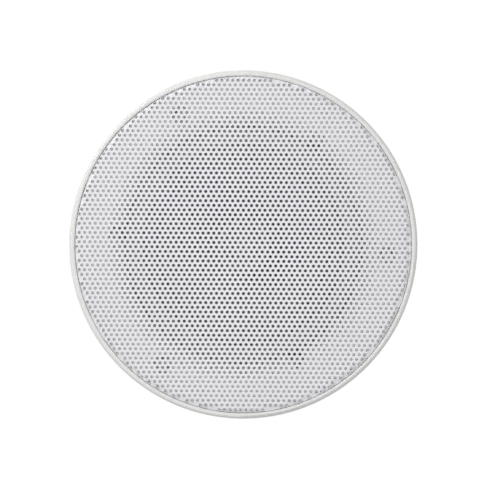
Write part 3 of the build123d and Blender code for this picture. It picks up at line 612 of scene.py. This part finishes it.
def makeSurround():
    # middle line: level edge, then half an ellipse, then the level lip
    s = surroundRoll
    turn = np.linspace(0.0, math.pi, s["rollSteps"])[1:-1]
    mid, half = (s["rollOut"] + s["rollIn"]) / 2, (s["rollOut"] - s["rollIn"]) / 2
    roll = np.column_stack((mid + half * np.cos(turn), s["z"] - s["bulge"] * np.sin(turn)))
    edge = [(s["outer"], s["z"]), (s["edgeMiddle"], s["z"]), (s["rollOut"] + s["foot"], s["z"])]
    lip = [(s["rollIn"] - s["foot"], s["z"]), (s["lipMiddle"], s["z"]), (s["lip"], s["z"])]
    outline = strip(np.concatenate((edge, roll, lip)), s["thick"])
    sectorPieces("surroundRoll", outline, s["sectors"], s["steps"], "rubber_surround", "surround")


makeSurround()

# spider: pleated cloth disc from the former out to the basket's ledge
spiderPleats = {
    "inner": 0.0129, "collarEnd": 0.0163, "collar": 0.0175, "pleatEnd": 0.0435, "ledge": 0.0452,
    "ledgeMiddle": 0.0495, "outer": 0.0536, "collarZ": 0.0352, "waveZ": 0.0345, "ledgeZ": 0.0358,
    "wave": 0.0008, "pleats": 7, "pleatSteps": 6, "thick": 0.0005, "sectors": 12, "steps": 8,
}


def makeSpider():
    # middle line: level collar, a sine of whole pleats, then up to the level edge on the ledge
    s = spiderPleats
    t = np.linspace(0.0, 1.0, s["pleatSteps"] * s["pleats"] + 1)
    pleat = np.column_stack((
        s["collar"] + (s["pleatEnd"] - s["collar"]) * t,
        s["waveZ"] + s["wave"] * np.sin(math.tau * s["pleats"] * t),
    ))
    collar = [(s["inner"], s["collarZ"]), (s["collarEnd"], s["collarZ"])]
    edge = [(s["ledge"], s["ledgeZ"]), (s["ledgeMiddle"], s["ledgeZ"]), (s["outer"], s["ledgeZ"])]
    outline = strip(np.concatenate((collar, pleat, edge)), s["thick"])
    sectorPieces("spiderPleats", outline, s["sectors"], s["steps"], "spider_cloth", "spider")


makeSpider()

# tweeter surround: small roll between the dome and its clamped edge
tweeterRoll = {
    "outer": 0.0140, "rollOut": 0.0119, "rollIn": 0.0103, "foot": 0.0004, "z": 0.0048, "bulge": 0.0007,
    "thick": 0.0003, "rollSteps": 11, "sectors": 8, "steps": 6,
}


def makeTweeterSurround():
    # middle line: half an ellipse from the dome's edge, then level under the face ring
    s = tweeterRoll
    turn = np.linspace(math.pi, 0.0, s["rollSteps"])
    mid, half = (s["rollOut"] + s["rollIn"]) / 2, (s["rollOut"] - s["rollIn"]) / 2
    roll = np.column_stack((mid + half * np.cos(turn), s["z"] - s["bulge"] * np.sin(turn)))
    edge = [(s["rollOut"] + s["foot"], s["z"]), (s["outer"], s["z"])]
    outline = strip(np.concatenate((roll, edge)), s["thick"])
    sectorPieces("tweeterRoll", outline, s["sectors"], s["steps"], "dome_silk", "tweeter_surround")


makeTweeterSurround()


def turnedPiece(name, outline, steps, slot, body, replaced, closed):
    # an outline of (radius, height) carried once round the axis
    bearing = math.tau * np.arange(steps) / steps
    loop = len(outline)
    x = np.outer(np.cos(bearing), outline[:, 0])
    y = np.outer(np.sin(bearing), outline[:, 0])
    i, j = np.mgrid[0:steps, 0 : loop if closed else loop - 1]
    k, n = (j + 1) % loop, (i + 1) % steps
    faces = np.stack((i * loop + j, i * loop + k, n * loop + k, n * loop + j), axis=-1).reshape(-1, 4)
    putPiece(name, gridPoints(x, y, outline[:, 1]), [faces], slot, body, replaced, crease=40.0)


# dome: thin cap of a ball over the tweeter's coil
domeCap = {"radius": 0.0102, "height": 0.0034, "z": 0.0052, "thick": 0.00035, "rings": 15, "steps": 48}


def makeDome():
    # two arcs of the same ball, one thickness apart along the axis
    d = domeCap
    ball = (d["radius"] ** 2 + d["height"] ** 2) / (2 * d["height"])
    r = np.linspace(0.0, d["radius"], d["rings"])
    back = d["z"] - d["height"] + ball - np.sqrt(ball**2 - r**2)
    outline = np.concatenate((np.column_stack((r, back)), np.column_stack((r, back - d["thick"]))[::-1]))
    turnedPiece("domeCap", outline, d["steps"], "dome_silk", "dome_unit", "tweeter_dome", closed=False)


makeDome()

# gasket: foam ring with soft corners on the surround's edge
foamRing = {
    "inner": 0.0675, "outer": 0.0785, "front": 0.0084, "back": 0.0100, "corner": 0.0005, "cornerSteps": 5,
    "steps": 96,
}


def makeGasket():
    # rectangle with its two front corners rounded
    g = foamRing
    turn = np.linspace(0.0, math.pi / 2, g["cornerSteps"])
    c = g["corner"]
    left = np.column_stack((g["inner"] + c - c * np.cos(turn), g["front"] + c - c * np.sin(turn)))
    right = np.column_stack((g["outer"] - c + c * np.sin(turn), g["front"] + c - c * np.cos(turn)))
    outline = np.concatenate((left, right, [(g["outer"], g["back"]), (g["inner"], g["back"])]))
    turnedPiece("foamRing", outline, g["steps"], "foam_gasket", "frame", "gasket", closed=True)


makeGasket()
print("soft pieces made")

# inductor: one layer of enamelled wire, turn on turn between the bobbin's flanges
coilWire = {"wire": 0.00072, "steps": 44, "sides": 8, "press": 1.04}


def makeWinding():
    # a round section carried along a helix: the bearing grows evenly, the height by one wire for each turn
    c = coilWire
    low, high = (np.array(corner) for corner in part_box("inductor_winding"))
    middle, half = (low + high) / 2, c["wire"] / 2
    turns = (high[2] - low[2]) / c["wire"] - c["press"]
    travel = np.linspace(0.0, turns, int(turns * c["steps"]) + 1)
    phase = math.tau * np.arange(c["sides"]) / c["sides"]
    reach = (high[0] - low[0]) / 2 - half + half * np.cos(phase)
    x = middle[0] + np.outer(np.cos(math.tau * travel), reach)
    y = middle[1] + np.outer(np.sin(math.tau * travel), reach)
    z = low[2] + half * c["press"] + c["wire"] * travel[:, None] + half * c["press"] * np.sin(phase)
    faces = tubeFaces(len(travel), c["sides"])
    points = gridPoints(x, y, z)
    putPiece("inductorTurns", points, faces, "copper_winding", "frame", "inductor_winding", crease=80.0)


makeWinding()
print("winding made")

# clamp screws: pan head with a cross recess, and a rolled thread along the whole shank
clampScrew = {
    "count": 3, "headHeight": 0.0026, "side": 0.0012, "flat": 0.0028, "slotLong": 0.0022, "slotWide": 0.0005,
    "slotDepth": 0.0014, "slotTaper": 0.8, "core": 0.0002, "major": 0.0020, "minor": 0.00148, "pitch": 0.0020,
    "rowsPerPitch": 10, "tip": 0.0008, "columns": 24, "rimSteps": 6, "flank": 1.7, "root": 0.35,
}


def screwPiece(name, middle, bearing, radius, height, number):
    # rows of points about an upright axis, each with its own radii and heights
    x = middle[0] + radius * np.cos(bearing)
    y = middle[1] + radius * np.sin(bearing)
    faces = tubeFaces(*x.shape)
    node, body = f"clamp_screw_{number}", f"clamp_{number}"
    putPiece(f"{name}{number}", gridPoints(x, y, height), faces, "phosphated_steel", body, node, crease=35.0)


def makeClampScrews():
    # head: rings from the shank round the rounded rim to a cross, then down its walls; the cross is the
    # larger of two bars, each the nearer of its side and its end; thread: a ridge that climbs one pitch
    # for each turn
    s = clampScrew
    corner = math.atan2(s["slotWide"], s["slotLong"])
    corners = (np.arange(4)[:, None] * math.pi / 2 + (corner, math.pi / 2 - corner)).ravel()
    turned = math.tau * np.arange(s["columns"]) / s["columns"]
    bearing = np.sort(np.concatenate((turned, corners)))
    across = np.maximum(np.abs(np.cos(bearing)), 1e-9), np.maximum(np.abs(np.sin(bearing)), 1e-9)
    bars = [np.minimum(s["slotLong"] / across[k], s["slotWide"] / across[1 - k]) for k in (0, 1)]
    cross, even = np.maximum(*bars), np.ones(len(bearing))
    turn = np.linspace(0.0, math.pi / 2, s["rimSteps"])
    for number in range(1, s["count"] + 1):
        low, high = (np.array(end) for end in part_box(f"clamp_screw_{number}"))
        middle, reach = (low + high) / 2, (high[0] - low[0]) / 2
        face, top = low[2], low[2] + s["headHeight"]
        rim = s["flat"] + (reach - s["flat"]) * np.cos(turn)
        rings = [s["major"], reach, *rim]
        radius = [r * even for r in rings] + [cross, cross * s["slotTaper"], s["core"] * even]
        floor = face + s["slotDepth"]
        height = [top, top, *(face + s["side"] * (1.0 - np.sin(turn))), face, floor, floor]
        facing = bearing + math.atan2(middle[1], middle[0])
        screwPiece("clampHead", middle, facing, np.array(radius), np.array(height)[:, None], number)
        row = np.arange(top, high[2], s["pitch"] / s["rowsPerPitch"])[:, None]
        row = np.append(row, [[high[2]]], axis=0)
        along = (row / s["pitch"] - turned / math.tau) % 1.0
        ridge = np.clip(s["flank"] * (1.0 - np.abs(2.0 * along - 1.0)) - s["root"], 0.0, 1.0)
        thread = s["minor"] + (s["major"] - s["minor"]) * ridge
        thread = np.minimum(thread, s["major"] - np.clip(row - high[2] + s["tip"], 0.0, None))
        screwPiece("clampThread", middle, turned, thread, row, number)


makeClampScrews()
print("screws made")

# leaf springs: a strip bent back on itself under each lever, its free leg sloping up to the lever
leafSpring = {
    "levers": ("red", "black"), "wide": 0.0050, "thick": 0.0004, "near": 0.00235, "far": 0.0079,
    "floorZ": 0.0306, "bend": 0.00045, "slope": 30.0, "floorSteps": 5, "bendSteps": 9, "legSteps": 9,
}


def makeLeafSprings():
    # middle line: in along the pocket's floor, round the bend, and out again up a straight slope to the lever
    s = leafSpring
    slope = math.radians(s["slope"])
    inward = np.linspace(s["far"], s["near"], s["floorSteps"])[:-1]
    base = np.column_stack((inward, np.full(len(inward), s["floorZ"])))
    turn = np.linspace(0.0, math.pi - slope, s["bendSteps"])
    lift = s["bend"] * (1.0 - np.cos(turn))
    bend = np.column_stack((s["near"] - s["bend"] * np.sin(turn), s["floorZ"] + lift))
    outward = np.linspace(bend[-1, 0], s["far"], s["legSteps"])[1:]
    rise = bend[-1, 1] + (outward - bend[-1, 0]) * math.tan(slope)
    outline = strip(np.concatenate((base, bend, np.column_stack((outward, rise)))), s["thick"])
    up = np.array((0.0, 0.0, 1.0))
    for lever in s["levers"]:
        joint = next(j for j in frame["joints"] if j["name"] == f"lever_{lever}_press")
        across = np.array(joint["axis"])
        pivot = np.array(joint["pos_m"]) * (1.0, 1.0, 0.0)
        profile = pivot + outline[:, :1] * np.cross(across, up) + outline[:, 1:] * up
        points = np.concatenate((profile - across * s["wide"] / 2, profile + across * s["wide"] / 2))
        node = f"lever_spring_{lever}"
        name = f"leafSpring{lever.title()}"
        piece = putPiece(name, points, tubeFaces(2, len(outline)), slotOf[node], None, node)
        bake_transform(piece)


makeLeafSprings()
print("springs made")
